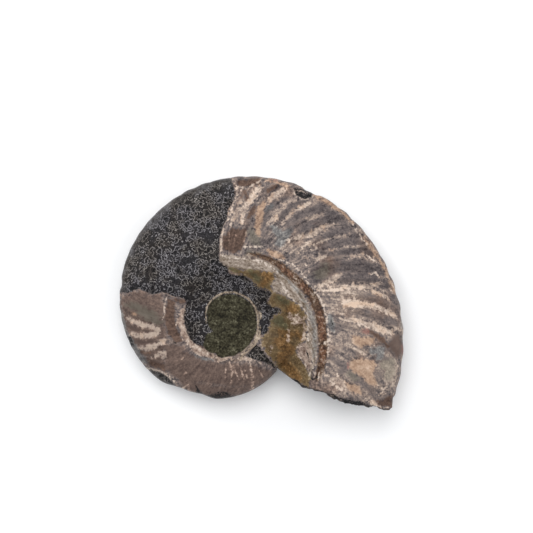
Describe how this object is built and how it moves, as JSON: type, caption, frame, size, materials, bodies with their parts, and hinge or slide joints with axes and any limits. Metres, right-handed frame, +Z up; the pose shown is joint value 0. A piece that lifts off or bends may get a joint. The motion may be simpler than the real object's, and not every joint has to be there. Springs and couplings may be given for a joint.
{
  "type": "ammonite fossil",
  "caption": "Coiled ammonite fossil, partly bare mould with frilled suture lines and partly ribbed shell, lying on one flank.",
  "frame": {"origin": "middle of the specimen's box, on the surface that it lies on", "axes": "+Z up, out of the flank that the picture shows; +X along the length of the coil, with the broken aperture towards -Y at the +X end; +Y to the top of the picture"},
  "size_m": [0.0746, 0.0614, 0.0188],
  "materials": {
    "fossil_stone": "natural fossil stone with a faint polish: black-grey suture mould, brown-grey and cream ribbed shell, amber calcite, green-grey grit in the umbilicus"
  },
  "bodies": {
    "root": {"ammonite": "fossil_stone"}
  },
  "joints": []
}
